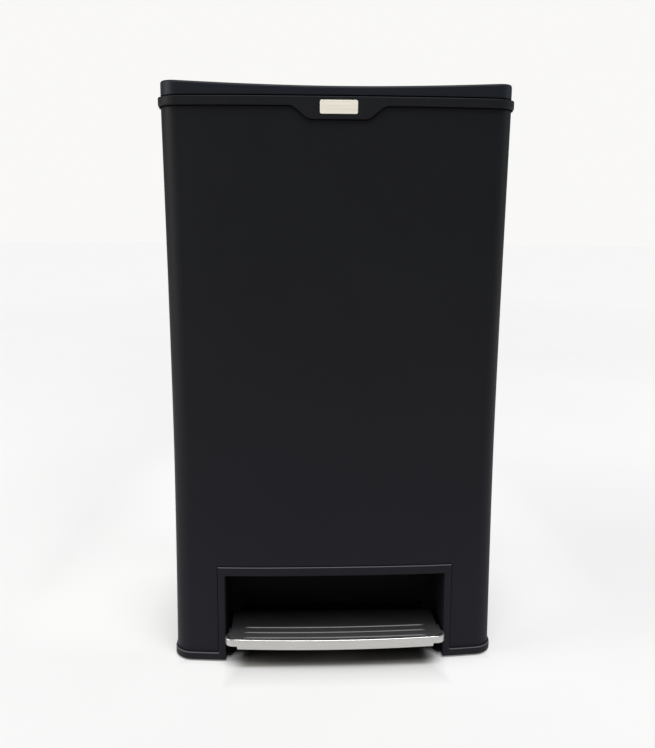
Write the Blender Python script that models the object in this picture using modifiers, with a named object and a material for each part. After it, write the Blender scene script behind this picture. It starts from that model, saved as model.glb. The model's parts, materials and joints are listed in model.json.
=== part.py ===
"""Pedal trash can: moulded body on a base tray, lift-up bag ring, hinged lid,
wide foot pedal on a steel lever, and a push rod that opens the lid.

Frame: metres, +Z up, X left-right, the front faces -Y, the origin on the floor
at the middle of the bounding box. Depths are given from the middle of the
front face (D = 0 there, growing to the rear) and turned into Y by y_at().
"""
import math

import bmesh
import bpy
from mathutils import Matrix, Vector

# ---------------------------------------------------------------- dimensions
FRONT_Y = -0.144          # Y of the middle of the front face
GAP = 0.0003              # gap between touching pieces
BODY_W_WAIST = 0.1935     # half width at the waist
WAIST_Z = 0.275
BODY_D = 0.300            # depth of the body
WALL = 0.003
BOW = 0.010               # how far the front corners lie behind the middle
BOW_W = 0.200             # half width over which the bow is measured
R_FRONT = 0.023
R_REAR = 0.022
BODY_Z0 = 0.0115
BODY_Z1 = 0.6635
FLOOR_Z = 0.134           # underside of the bin floor
FLOOR_T = 0.003
SKIRT_W = 0.1978
TRAY_Z0 = 0.002
TRAY_T = 0.004
SKIRT_Z1 = 0.0112
SPIGOT_Z1 = 0.022
OPEN_W = 0.1338           # half width of the pedal opening
OPEN_Z = 0.1109
FRAME_W = 0.1425          # outer half width of the frame round the opening
FRAME_Z = 0.1219
FRAME_D = 0.012
FACE_FOOT = -0.0031        # front of the tray at its foot
FACE_TOP = -0.0010         # front of the frame at its top
TRAY_D1 = 0.3012
POCKET_D = 0.085
POCKET_T = 0.0025
HINGE_D = 0.3063          # lid and ring axis
HINGE_Z = 0.652
PIN_R = 0.0025
BORE_R = 0.0028
RING_W = 0.1967           # body half width at the rim
RING_Z0 = 0.6565
RING_Z1 = 0.6665
RING_OUT = 0.0033         # how far the band stands proud of the body
TAB_Z = 0.6422
TAB_FLAT = 0.0297
TAB_END = 0.0547
LID_W = 0.1968
LID_Z0 = 0.6668
LID_Z_EDGE = 0.6843
LID_Z_MID = 0.6778
LID_R = 0.003
AXLE_D = 0.100
AXLE_Z = 0.022
AXLE_R = 0.003
PEDAL_W = 0.1335          # half width of the pedal's lip
PEDAL_IN = 0.0033         # how much narrower it is inside the opening
PEDAL_D0 = -0.024
PEDAL_D1 = 0.060
PEDAL_BOW_R = 1.437
PEDAL_CORNER = 0.010
PEDAL_Z1 = 0.0388
LIP_Z0 = 0.030
LIP_MID_Z0 = 0.0265
LIP_MID_W = 0.1188
ROD_D = 0.2865
ROD_R = 0.003
LEVER_R = 0.02225         # hinge axis to the middle of the lever's round end
LEVER_A = math.radians(-40)

# ---------------------------------------------------------------- clean start
for o in list(bpy.data.objects):
    bpy.data.objects.remove(o, do_unlink=True)
for c in list(bpy.data.collections):
    bpy.data.collections.remove(c)

PARTS = bpy.data.collections.new("pedal_trash_can")
CUTTERS = bpy.data.collections.new("cutters")
bpy.context.scene.collection.children.link(PARTS)
bpy.context.scene.collection.children.link(CUTTERS)


def material(name, rgb, rough, metal=0.0):
    m = bpy.data.materials.new(name)
    m.use_nodes = True
    b = m.node_tree.nodes["Principled BSDF"]
    b.inputs["Base Color"].default_value = (*rgb, 1.0)
    b.inputs["Roughness"].default_value = rough
    b.inputs["Metallic"].default_value = metal
    m.diffuse_color = (*rgb, 1.0)
    return m


BLACK = (0.014, 0.015, 0.019)
COLOURS = {
    "shell": (BLACK, 0.5, 0.0),
    "inner": ((0.010, 0.010, 0.012), 0.6, 0.0),
    "rubber": ((0.03, 0.03, 0.032), 0.75, 0.0),
    "silver": ((0.60, 0.60, 0.62), 0.3, 1.0),
    "steel": ((0.45, 0.46, 0.48), 0.35, 1.0),
    "badge": ((0.78, 0.75, 0.70), 0.3, 1.0),
}


def y_at(d):
    return FRONT_Y + d


def keep(mesh, name, kind):
    o = bpy.data.objects.new(name, mesh)
    if kind is None:
        CUTTERS.objects.link(o)
        o.hide_render = True
        o.display_type = "WIRE"
    else:
        PARTS.objects.link(o)
        rgb, rough, metal = COLOURS[kind]
        mesh.materials.append(material(name + "_mat", rgb, rough, metal))
    return o


def from_bm(bm, name, kind, smooth=None):
    me = bpy.data.meshes.new(name)
    bm.normal_update()
    bm.to_mesh(me)
    bm.free()
    if smooth:
        me.shade_smooth()
        me.set_sharp_from_angle(angle=math.radians(smooth))
    return keep(me, name, kind)


def box(name, x, d, z, kind=None):
    """A block between x = (lo, hi), d = (lo, hi) and z = (lo, hi)."""
    bm = bmesh.new()
    bmesh.ops.create_cube(bm, size=1.0)
    c = Vector(((x[0] + x[1]) / 2, y_at((d[0] + d[1]) / 2), (z[0] + z[1]) / 2))
    s = Vector((x[1] - x[0], d[1] - d[0], z[1] - z[0]))
    bmesh.ops.scale(bm, vec=s, verts=bm.verts)
    bmesh.ops.translate(bm, vec=c, verts=bm.verts)
    return from_bm(bm, name, kind)


def rod(name, axis, at, r, lo, hi, kind=None, sides=16):
    """A cylinder along X, Y (given as depth) or Z, through the point `at`."""
    bm = bmesh.new()
    bmesh.ops.create_cone(bm, cap_ends=True, segments=sides, radius1=r,
                          radius2=r, depth=hi - lo)
    mid = (lo + hi) / 2
    if axis == "X":
        turn, c = Matrix.Rotation(math.pi / 2, 4, "Y"), (mid, y_at(at[0]), at[1])
    elif axis == "Y":
        turn, c = Matrix.Rotation(math.pi / 2, 4, "X"), (at[0], y_at(mid), at[1])
    else:
        turn, c = Matrix.Identity(4), (at[0], y_at(at[1]), mid)
    bmesh.ops.transform(bm, matrix=Matrix.Translation(Vector(c)) @ turn, verts=bm.verts)
    return from_bm(bm, name, kind, 40)


def turned(name, axis, at, profile, kind=None, sides=16):
    """A round piece from (r, position along the axis) pairs, one end to the other."""
    me = bpy.data.meshes.new(name)
    bm = bmesh.new()
    vs = [bm.verts.new((r, 0.0, h)) for r, h in profile]
    for a, b in zip(vs, vs[1:]):
        bm.edges.new((a, b))
    bm.to_mesh(me)
    bm.free()
    o = keep(me, name, kind)
    s = o.modifiers.new("turn", "SCREW")
    s.steps = s.render_steps = sides
    s.axis = "Z"
    s.use_merge_vertices = True
    s.merge_threshold = 0.00001
    s.use_smooth_shade = False
    if axis == "X":
        o.matrix_world = (Matrix.Translation((0, y_at(at[0]), at[1]))
                          @ Matrix.Rotation(math.pi / 2, 4, "Y"))
    elif axis == "Y":
        o.matrix_world = (Matrix.Translation((at[0], FRONT_Y, at[1]))
                          @ Matrix.Rotation(-math.pi / 2, 4, "X"))
    else:
        o.matrix_world = Matrix.Translation((at[0], y_at(at[1]), 0))
    return o


def outline_plate(name, pts, lo, hi, plane="XY", kind=None):
    """A flat outline as a filled 2D curve, thickened from lo to hi, as a mesh.
    plane XY: pts are (x, depth), thickened in Z.  plane XZ: (x, z), thickened in
    depth.  plane YZ: (depth, z), thickened in X."""
    cu = bpy.data.curves.new(name, "CURVE")
    cu.dimensions = "2D"
    cu.fill_mode = "BOTH"
    cu.extrude = (hi - lo) / 2
    sp = cu.splines.new("POLY")
    sp.points.add(len(pts) - 1)
    for p, q in zip(sp.points, pts):
        p.co = (q[0], q[1], 0, 1)
    sp.use_cyclic_u = True
    co = bpy.data.objects.new(name + "_outline", cu)
    CUTTERS.objects.link(co)
    bpy.context.view_layer.update()
    dg = bpy.context.evaluated_depsgraph_get()
    me = bpy.data.meshes.new_from_object(co.evaluated_get(dg))
    me.name = name
    bpy.data.objects.remove(co, do_unlink=True)
    bpy.data.curves.remove(cu)
    me.materials.clear()
    bm = bmesh.new()
    bm.from_mesh(me)
    bmesh.ops.remove_doubles(bm, verts=bm.verts, dist=0.000001)
    bmesh.ops.recalc_face_normals(bm, faces=bm.faces)
    mid = (lo + hi) / 2
    if plane == "XY":
        m = Matrix.Translation((0, FRONT_Y, mid))
    elif plane == "XZ":
        m = Matrix.Translation((0, y_at(mid), 0)) @ Matrix.Rotation(math.pi / 2, 4, "X")
    else:
        m = Matrix.Translation((mid, FRONT_Y, 0)) @ Matrix(
            ((0, 0, 1, 0), (1, 0, 0, 0), (0, 1, 0, 0), (0, 0, 0, 1)))
    bmesh.ops.transform(bm, matrix=m, verts=bm.verts)
    bm.to_mesh(me)
    bm.free()
    return keep(me, name, kind)


def boolean(o, other, op="DIFFERENCE"):
    m = o.modifiers.new(op.lower(), "BOOLEAN")
    m.operation = op
    m.solver = "EXACT"
    m.object = other
    return o


def cut(o, *others):
    for c in others:
        boolean(o, c)
    return o


def join(o, *others):
    for c in others:
        boolean(o, c, "UNION")
    return o


# ---------------------------------------------------------------- plan outline
def front_bow(x):
    return BOW * (abs(x) / BOW_W) ** 3


def pedal_bow(x):
    return x * x / (2 * PEDAL_BOW_R)


def half_width(z):
    """Half width of the body: narrowest at the waist, opening up and down."""
    k = 4.56e-1 if z > WAIST_Z else 5.9e-1
    return BODY_W_WAIST + k * 0.001 * (abs(z - WAIST_Z) * 1000) ** 1.5 * 0.001


def corner_points(w, d0, d1, r1, r2, bow, nf, nc):
    """Right half of a rounded plan: bowed front, straight side and rear."""
    px, a = w - r1, 0.0
    for _ in range(6):
        a = math.atan((bow(px + 1e-5) - bow(px - 1e-5)) / 2e-5)
        px = w - r1 + r1 * math.sin(a)
    cy = d0 + bow(px) + r1 * math.cos(a)
    front = [(px * i / nf, d0 + bow(px * i / nf)) for i in range(nf)]
    for j in range(nc + 1):
        t = -math.pi / 2 + a + (math.pi / 2 - a) * j / nc
        front.append((w - r1 + r1 * math.cos(t), cy + r1 * math.sin(t)))
    rear = []
    for j in range(nc + 1):
        t = math.pi / 2 * j / nc
        rear.append((w - r2 + r2 * math.cos(t), d1 - r2 + r2 * math.sin(t)))
    for i in range(nf - 1, -1, -1):
        rear.append(((w - r2) * i / nf, d1))
    return front, rear


def plan(w, off, d0=0.0, d1=BODY_D, r1=R_FRONT, r2=R_REAR, bow=front_bow, nf=8, nc=5):
    """Closed plan outline, anticlockwise from the middle of the front."""
    f, r = corner_points(w - off, d0 + off, d1 - off, max(r1 - off, 0.002),
                         max(r2 - off, 0.002), bow, nf, nc)
    right = f + r
    left = [(-x, d) for x, d in reversed(right[1:-1])]
    return right + left


def loft(name, rings, kind=None, strip_top=False, strip_bottom=False):
    """Rings of equal length joined by quads. A flat end is one face; a curved
    end is a strip of quads from the front edge to the rear edge."""
    bm = bmesh.new()
    rows = [[bm.verts.new(p) for p in ring] for ring in rings]
    n = len(rows[0])
    for a, b in zip(rows, rows[1:]):
        for i in range(n):
            j = (i + 1) % n
            bm.faces.new((a[i], a[j], b[j], b[i]))
    half = n // 2
    for row, up, strip in ((rows[0], False, strip_bottom), (rows[-1], True, strip_top)):
        if not strip:
            bm.faces.new(row if up else row[::-1])
            continue
        q = (half - 1) // 2
        for i in range(-q, q):
            a, b = row[i % n], row[(i + 1) % n]
            c, d = row[(half - i - 1) % n], row[(half - i) % n]
            bm.faces.new((a, b, c, d) if up else (d, c, b, a))
        # the two ends, where the sides run straight
        a, b = row[q], row[(q + 1) % n]
        if (half - q) % n != (q + 1) % n:
            bm.faces.new((a, b, row[(half - q) % n]) if up else (row[(half - q) % n], b, a))
    return from_bm(bm, name, kind)


def ring_at(z, off=0.0, w=None, **kw):
    return [(x, y_at(d), z) for x, d in plan(half_width(z) if w is None else w, off, **kw)]


def straight(name, w, off, z0, z1, kind=None, **kw):
    return loft(name, [ring_at(z0, off, w, **kw), ring_at(z1, off, w, **kw)], kind)


def levels(z0, z1, n):
    return [z0 + (z1 - z0) * i / n for i in range(n + 1)]


# ---------------------------------------------------------------- outer body
body = loft("outer_body", [ring_at(z) for z in levels(BODY_Z0, BODY_Z1, 8)], "shell")
cut(body,
    loft("body_cavity", [ring_at(z, WALL) for z in levels(FLOOR_Z + FLOOR_T, 0.700, 5)]),
    loft("base_cavity", [ring_at(z, WALL) for z in levels(-0.010, FLOOR_Z, 3)]),
    box("body_front_cut", (-FRAME_W - GAP, FRAME_W + GAP), (-0.020, 0.020),
        (-0.010, FRAME_Z + GAP)),
    rod("floor_rod_hole", "Z", (0, ROD_D), 0.0045, 0.125, 0.145))
BOSSES = [(sx * 0.160, d) for d in (0.060, 0.245) for sx in (-1, 1)]
for i, (x, d) in enumerate(BOSSES):
    join(body, rod("boss_%d" % (i + 1), "Z", (x, d), 0.006, 0.0063, FLOOR_Z + 0.001, sides=12))
for i, (x, d) in enumerate(BOSSES):
    cut(body, rod("boss_hole_%d" % (i + 1), "Z", (x, d), 0.0021, 0.000, 0.030, sides=12))
for s in (-1, 1):
    cut(body, rod("wall_hole_%d" % s, "Y", (s * 0.030, 0.628), 0.0023, 0.280, 0.310, sides=12))

# ---------------------------------------------------------------- base tray


def face_at(z):
    """Depth of the tray's front face: it leans forward towards the floor."""
    return FACE_FOOT + (FACE_TOP - FACE_FOOT) * (z - TRAY_Z0) / (FRAME_Z - TRAY_Z0)


tray = loft("base_tray", [ring_at(z, 0.0, SKIRT_W, d0=face_at(z), d1=TRAY_D1, r1=R_FRONT + 0.001)
                          for z in (TRAY_Z0, FRAME_Z)], "shell")
for s in (-1, 1):
    x = (FRAME_W, 0.260) if s > 0 else (-0.260, -FRAME_W)
    cut(tray, box("beside_frame_%d" % s, x, (-0.050, 0.100), (SKIRT_Z1, 0.200)))
cut(tray, box("behind_frame", (-0.260, 0.260), (FRAME_D, 0.400), (SKIRT_Z1, 0.200)))
SPIGOT_W = half_width(0.017) - WALL - 0.0004
join(tray, straight("tray_spigot", SPIGOT_W, 0.0, SKIRT_Z1 - 0.003, SPIGOT_Z1,
                    d0=WALL + 0.0004, d1=BODY_D - WALL - 0.0004,
                    r1=R_FRONT - WALL, r2=R_REAR - WALL))
cut(tray, straight("tray_inside", SPIGOT_W - 0.0025, 0.0, TRAY_Z0 + TRAY_T, 0.0500,
                   d0=0.0086, d1=BODY_D - 0.006, r1=R_FRONT - 0.006, r2=R_REAR - 0.006),
    box("frame_window", (-OPEN_W, OPEN_W), (-0.020, 0.030), (TRAY_Z0 + TRAY_T, OPEN_Z)),
    outline_plate("tray_front_cut", [
        (-OPEN_W, -0.020), (OPEN_W, -0.020), (OPEN_W, 0.0005), (0.125, 0.015), (0.1215, 0.024),
        (0.118, 0.034), (0.112, 0.038), (-0.112, 0.038), (-0.118, 0.034), (-0.1215, 0.024),
        (-0.125, 0.015), (-OPEN_W, 0.0005)], -0.010, 0.0105))
for s in (-1, 1):
    x = (0.033, 0.039) if s > 0 else (-0.039, -0.033)
    join(tray,
         box("ear_%d" % s, x, (AXLE_D - 0.008, AXLE_D + 0.008), (0.004, AXLE_Z)),
         rod("ear_top_%d" % s, "X", (AXLE_D, AXLE_Z), 0.008, x[0], x[1]))
cut(tray, rod("axle_bore", "X", (AXLE_D, AXLE_Z), AXLE_R + GAP, -0.060, 0.060))
FEET = [(sx * 0.172, d) for d in (0.036, 0.272) for sx in (-1, 1)]
for i, (x, d) in enumerate(FEET):
    cut(tray, rod("foot_seat_%d" % (i + 1), "Z", (x, d), 0.0123, -0.010, 0.0043, sides=24))
    rod("foot_%d" % (i + 1), "Z", (x, d), 0.012, 0.0, 0.0040, "rubber", 24)
for i, (x, d) in enumerate(BOSSES):
    cut(tray, rod("screw_seat_%d" % (i + 1), "Z", (x, d), 0.0046, -0.010, 0.0040, sides=12),
        rod("screw_hole_%d" % (i + 1), "Z", (x, d), 0.0021, 0.000, 0.010, sides=12))
    s = turned("base_screw_%d" % (i + 1), "Z", (x, d),
               [(0, 0.024), (0.0017, 0.024), (0.0017, 0.0037), (0.0042, 0.0037),
                (0.0042, 0.0021), (0, 0.0021)], "steel", 12)

# ---------------------------------------------------------------- pedal pocket
pocket = box("pedal_pocket", (-OPEN_W - POCKET_T, OPEN_W + POCKET_T),
             (FRAME_D + GAP, POCKET_D + POCKET_T),
             (TRAY_Z0 + TRAY_T + GAP, OPEN_Z + POCKET_T), "inner")
cut(pocket,
    box("pocket_space", (-OPEN_W, OPEN_W), (0.0, POCKET_D), (-0.010, OPEN_Z)),
    box("pocket_slot", (-0.0318, 0.0318), (0.060, 0.120), (-0.010, 0.0335)))

# ---------------------------------------------------------------- rod channel
cover = box("rod_cover", (-0.014, 0.014), (0.270, BODY_D - WALL - GAP),
            (FLOOR_Z + FLOOR_T + GAP, 0.640), "shell")
cut(cover, box("cover_space", (-0.012, 0.012), (0.272, 0.320), (0.100, 0.700)))
for tag, z in (("lower", 0.160), ("upper", 0.560)):
    g = box("rod_guide_" + tag, (-0.0117, 0.0117), (0.2775, BODY_D - WALL - GAP),
            (z - 0.006, z + 0.006), "inner")
    cut(g, rod("guide_bore_" + tag, "Z", (0, ROD_D), ROD_R + GAP, z - 0.020, z + 0.020),
        rod("guide_tap_" + tag, "Y", (0, z), 0.0016, 0.270, 0.2815, sides=12))
    cut(cover, rod("cover_hole_" + tag, "Y", (0, z), 0.0018, 0.260, 0.280, sides=12))
    turned("rod_cover_screw_" + tag, "Y", (0, z),
           [(0, 0.2805), (0.0013, 0.2805), (0.0013, 0.2697), (0.003, 0.2697),
            (0.003, 0.2682), (0, 0.2682)], "steel", 12)

# ---------------------------------------------------------------- hinge
block = box("hinge_block", (-0.062, 0.062), (BODY_D + GAP, 0.3038), (0.616, 0.6465), "shell")
for s in (-1, 1):
    x = (0.050, 0.060) if s > 0 else (-0.060, -0.050)
    join(block,
         box("block_ear_%d" % s, x, (BODY_D + GAP, HINGE_D + 0.0045), (0.632, HINGE_Z)),
         rod("block_eye_%d" % s, "X", (HINGE_D, HINGE_Z), 0.0049, x[0], x[1], sides=24))
cut(block, rod("block_bore", "X", (HINGE_D, HINGE_Z), BORE_R, -0.080, 0.080))
for s in (-1, 1):
    cut(block, rod("block_hole_%d" % s, "Y", (s * 0.030, 0.628), 0.0023, 0.290, 0.320, sides=12))
turned("hinge_pin", "X", (HINGE_D, HINGE_Z),
       [(0, 0.0634), (PIN_R, 0.0634), (PIN_R, -0.0603), (0.004, -0.0603),
        (0.004, -0.0623), (0, -0.0623)], "steel", 20)
clip = rod("hinge_pin_clip", "X", (HINGE_D, HINGE_Z), 0.0046, 0.0603, 0.0618, "steel", 20)
cut(clip, rod("clip_bore", "X", (HINGE_D, HINGE_Z), BORE_R, 0.050, 0.070, sides=20))
for s, tag in ((-1, "left"), (1, "right")):
    turned("hinge_screw_" + tag, "Y", (s * 0.030, 0.628),
           [(0, 0.3061), (0.004, 0.3061), (0.004, 0.3041), (0.0019, 0.3041),
            (0.0019, 0.2915), (0, 0.2915)], "steel", 12)
    n = rod("hinge_nut_" + tag, "Y", (s * 0.030, 0.628), 0.0045, 0.2932, 0.2967, "steel", 6)
    cut(n, rod("nut_bore_" + tag, "Y", (s * 0.030, 0.628), 0.0022, 0.280, 0.300, sides=12))

# ---------------------------------------------------------------- bag ring
ring = straight("bag_ring", RING_W, -RING_OUT, TAB_Z, RING_Z1, "shell")


def tab_edge(x):
    """Lower edge of the band: flat under the grip, then an S up to the band."""
    t = min(max((abs(x) - TAB_FLAT) / (TAB_END - TAB_FLAT), 0.0), 1.0)
    return TAB_Z + (RING_Z0 - TAB_Z) * t * t * (3 - 2 * t)


below = [(-0.250, 0.600), (0.250, 0.600), (0.250, RING_Z0)]
below += [(x, tab_edge(x)) for x in [TAB_END * (1 - i / 20) for i in range(41)]
          if abs(x) > TAB_FLAT]
below = below[:3] + [(x, z) for x, z in below[3:] if x > 0] + [
    (TAB_FLAT, TAB_Z - 0.0001), (-TAB_FLAT, TAB_Z - 0.0001)] + [
    (x, z) for x, z in below[3:] if x < 0] + [(-0.250, RING_Z0)]
# the skirt holds the bag at the front and sides; the rear is free to swing
skirt = cut(straight("ring_skirt", RING_W, 0.0042, 0.642, 0.6646),
            box("skirt_rear_cut", (-0.250, 0.250), (0.262, 0.330), (0.600, 0.700)))
cut(ring,
    straight("ring_groove", RING_W, -0.0008, 0.630, BODY_Z1 + GAP),
    outline_plate("below_band", below, -0.050, 0.150, "XZ"),
    box("below_rear_band", (-0.250, 0.250), (0.1495, 0.350), (0.600, RING_Z0)))
join(ring, skirt)
cut(ring,
    straight("ring_skirt_inside", RING_W, 0.0067, 0.600, 0.6640),
    straight("ring_mouth", RING_W, 0.020, 0.650, 0.690, r1=R_FRONT + 0.010, r2=R_REAR + 0.010),
    box("ring_lever_slot", (-0.016, 0.016), (0.272, 0.3010), (0.600, 0.690)),
    box("badge_recess", (-0.0217, 0.0217), (-0.010, -0.0019), (0.6469, 0.6633)))
for s in (-1, 1):
    x = (0.036, 0.0497) if s > 0 else (-0.0497, -0.036)
    join(ring,
         box("ring_arm_%d" % s, x, (0.3012, HINGE_D), (HINGE_Z, 0.663)),
         rod("ring_eye_%d" % s, "X", (HINGE_D, HINGE_Z), 0.0057, x[0], x[1], sides=24))
cut(ring, rod("ring_bore", "X", (HINGE_D, HINGE_Z), BORE_R, -0.080, 0.080))
badge = box("badge_plate", (-0.02075, 0.02075), (-0.0033, -0.0022), (0.6479, 0.6624), "badge")

# ---------------------------------------------------------------- lid


def lid_top(x, drop=0.0):
    return LID_Z_MID + (LID_Z_EDGE - LID_Z_MID) * min(abs(x) / LID_W, 1.0) ** 2 - drop


def lid_solid(name, off, z0, drop, r, steps, kind=None):
    rings = [[(x, y_at(d), z0) for x, d in plan(LID_W, off)]]
    for k in range(steps + 1):
        t = math.pi / 2 * k / steps
        o = off + r * (1 - math.cos(t))
        rings.append([(x, y_at(d), lid_top(x, drop + r) + r * math.sin(t))
                      for x, d in plan(LID_W, o)])
    return loft(name, rings, kind, strip_top=True)


lid = lid_solid("lid_shell", 0.0, LID_Z0, 0.0, LID_R, 3, "shell")
cut(lid, lid_solid("lid_hollow", 0.0025, 0.660, 0.0025, 0.002, 1))
for s in (-1, 1):
    x = (0.0165, 0.0357) if s > 0 else (-0.0357, -0.0165)
    join(lid,
         box("lid_bridge_%d" % s, x, (0.2982, HINGE_D + 0.003), (LID_Z0, 0.6706)),
         box("lid_arm_%d" % s, x, (HINGE_D - 0.002, HINGE_D + 0.003), (HINGE_Z, 0.6686)),
         rod("lid_eye_%d" % s, "X", (HINGE_D, HINGE_Z), 0.005, x[0], x[1], sides=24))
cut(lid, rod("lid_bore", "X", (HINGE_D, HINGE_Z), BORE_R, -0.080, 0.080))

liner = straight("lid_liner", LID_W, 0.003, 0.6672, 0.6692, "inner")
for s in (-1, 1):
    join(liner, rod("liner_boss_%d" % s, "Z", (s * 0.008, 0.270), 0.004, 0.6686, 0.6718, sides=12))
for s, tag in ((-1, "left"), (1, "right")):
    cut(liner, rod("liner_hole_" + tag, "Z", (s * 0.008, 0.270), 0.0019, 0.660, 0.6712, sides=12),
        rod("bumper_seat_" + tag, "Z", (s * 0.150, 0.016), 0.0053, 0.660, 0.6684, sides=16))
    rod("lid_bumper_" + tag, "Z", (s * 0.150, 0.016), 0.005, LID_Z0, 0.6681, "rubber", 16)


def on_arc(r, a):
    return (HINGE_D - r * math.cos(a), HINGE_Z + r * math.sin(a))


R_IN, R_OUT = 0.0175, 0.027
hook = [on_arc(R_IN, math.radians(a)) for a in range(-40, 53, 6)]
hook += [(HINGE_D - 0.0108, 0.6669), (0.2630, 0.6669), (0.2630, 0.6639)]
hook += [on_arc(R_OUT, math.radians(26 - 6.6 * i)) for i in range(11)]
mid = on_arc(LEVER_R, LEVER_A)
for k in range(1, 8):
    t = math.pi * k / 8
    # half circle round the end of the arc, from the outer edge to the inner
    ax = (-math.cos(LEVER_A), math.sin(LEVER_A))
    ay = (-math.sin(LEVER_A), -math.cos(LEVER_A))
    q = (R_OUT - R_IN) / 2
    hook.append((mid[0] + q * (ax[0] * math.cos(t) + ay[0] * math.sin(t)),
                 mid[1] + q * (ax[1] * math.cos(t) + ay[1] * math.sin(t))))
lever = outline_plate("lid_lever", hook, -0.004, 0.004, "YZ", "steel")
join(lever, box("lever_base", (-0.012, 0.012), (0.2630, 0.2820), (0.6639, 0.6669)))
for s, tag in ((-1, "left"), (1, "right")):
    cut(lever, rod("lever_hole_" + tag, "Z", (s * 0.008, 0.270), 0.0019, 0.660, 0.675, sides=12))
    turned("lid_lever_screw_" + tag, "Z", (s * 0.008, 0.270),
           [(0, 0.6709), (0.0016, 0.6709), (0.0016, 0.6636), (0.003, 0.6636),
            (0.003, 0.6620), (0, 0.6620)], "steel", 12)

# ---------------------------------------------------------------- pedal


def pedal_outline(side, front, d1, r1, r2=0.004):
    """Plan of a pedal piece, inset from the lip by `side` and `front`: bowed in
    front, a little narrower where it goes into the opening."""
    f, r = corner_points(PEDAL_W - side, PEDAL_D0 + front, d1, r1, r2, pedal_bow, 8, 5)
    last = f[-1][1]
    f += [(f[-1][0], last + (0.001 - last) * k / 4) for k in range(1, 5)]
    pts = []
    for x, d in f + r:
        t = min(max((d + 0.008) / 0.009, 0.0), 1.0)
        pts.append((x * (1 - PEDAL_IN / PEDAL_W * t * t * (3 - 2 * t)), d))
    return pts + [(-x, d) for x, d in reversed(pts[1:-1])]


def pedal_plate(name, z0, z1, kind=None, side=0.0, front=0.0, d1=PEDAL_D1, r1=PEDAL_CORNER):
    pts = pedal_outline(side, front, d1, r1)
    return loft(name, [[(x, y_at(d), z) for x, d in pts] for z in (z0, z1)], kind)


trim = pedal_plate("pedal_trim", LIP_Z0, PEDAL_Z1, "silver")
lip = boolean(pedal_plate("lip_middle", LIP_MID_Z0, LIP_Z0 + 0.002),
              box("lip_limit", (-LIP_MID_W, LIP_MID_W), (-0.050, 0.030), (0.0, 0.100)),
              "INTERSECT")
join(trim, lip)
cut(trim, pedal_plate("trim_under", 0.0, 0.0355, None, 0.0022, 0.0022, 0.080, 0.0078),
    pedal_plate("trim_top", 0.0375, 0.0600, None, 0.0026, 0.0014, 0.080, 0.0156))

pad = pedal_plate("pedal_pad", 0.0378, 0.0398, "rubber", 0.0030, 0.0018, 0.0530, 0.0152)
for k in range(3):
    d = -0.0193 + 0.0126 * k
    xs = [0.112 * (i / 8 - 1) for i in range(17)]
    edge = [(x, d - 0.0012 + 0.75 * pedal_bow(x)) for x in xs]
    edge += [(x, d + 0.0012 + 0.75 * pedal_bow(x)) for x in reversed(xs)]
    join(pad, outline_plate("rib_%d" % (k + 1), edge, 0.0390, 0.0409))

carrier = boolean(pedal_plate("pedal_carrier", 0.0270, 0.0352, "inner", 0.0026, 0.0026, 0.0800, 0.0074),
                  box("carrier_limit", (-0.1185, 0.1185), (-0.050, 0.0790), (0.0, 0.100)),
                  "INTERSECT")
cut(carrier,
    boolean(pedal_plate("carrier_hollow", 0.0, 0.0322, None, 0.0051, 0.0051, 0.0900, 0.0050),
            box("hollow_limit", (-0.116, 0.116), (-0.050, 0.0765), (-0.020, 0.100)),
            "INTERSECT"),
    box("carrier_notch", (-0.0315, 0.0315), (0.060, 0.090), (0.0, 0.0322)))

arm = box("pedal_lever", (-0.030, 0.030), (-0.010, AXLE_D - 0.003), (0.0275, 0.0319), "steel")
join(arm,
     rod("lever_barrel", "X", (AXLE_D, AXLE_Z), 0.007, -0.031, 0.031, sides=20),
     box("lever_web", (-0.029, 0.029), (0.093, 0.099), (0.020, 0.030)),
     box("lever_tail", (-0.008, 0.008), (0.104, ROD_D), (0.0182, 0.0258)),
     rod("lever_nose", "X", (ROD_D, AXLE_Z), 0.005, -0.008, 0.008, sides=20))
cut(arm, rod("lever_bore", "X", (AXLE_D, AXLE_Z), AXLE_R + GAP, -0.060, 0.060))
for s, tag in ((-1, "left"), (1, "right")):
    cut(carrier, rod("carrier_hole_" + tag, "Z", (s * 0.018, 0.020), 0.0021, 0.0, 0.0349, sides=12))
    cut(arm, rod("arm_hole_" + tag, "Z", (s * 0.018, 0.020), 0.0021, 0.0, 0.050, sides=12))
    turned("pedal_screw_" + tag, "Z", (s * 0.018, 0.020),
           [(0, 0.0346), (0.0018, 0.0346), (0.0018, 0.0272), (0.004, 0.0272),
            (0.004, 0.0252), (0, 0.0252)], "steel", 12)
    clip = rod("axle_clip_" + tag, "X", (AXLE_D, AXLE_Z), 0.0055,
               *((0.0393, 0.0408) if s > 0 else (-0.0408, -0.0393)), "steel", 20)
    cut(clip, rod("axle_clip_bore_" + tag, "X", (AXLE_D, AXLE_Z), AXLE_R + GAP, -0.060, 0.060))
rod("pedal_axle", "X", (AXLE_D, AXLE_Z), AXLE_R, -0.043, 0.043, "steel", 20)

# ---------------------------------------------------------------- push rod
rod("push_rod", "Z", (0, ROD_D), ROD_R, 0.0343, 0.6257, "steel", 16)
foot = rod("rod_foot", "Z", (0, ROD_D), 0.007, 0.0278, 0.0420, "inner", 20)
cut(foot, rod("rod_foot_socket", "Z", (0, ROD_D), ROD_R + GAP, 0.0340, 0.060))
tip = rod("rod_tip", "Z", (0, ROD_D), 0.006, 0.6140, 0.6320, "inner", 20)
cut(tip, rod("rod_tip_socket", "Z", (0, ROD_D), ROD_R + GAP, 0.600, 0.6260))

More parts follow.
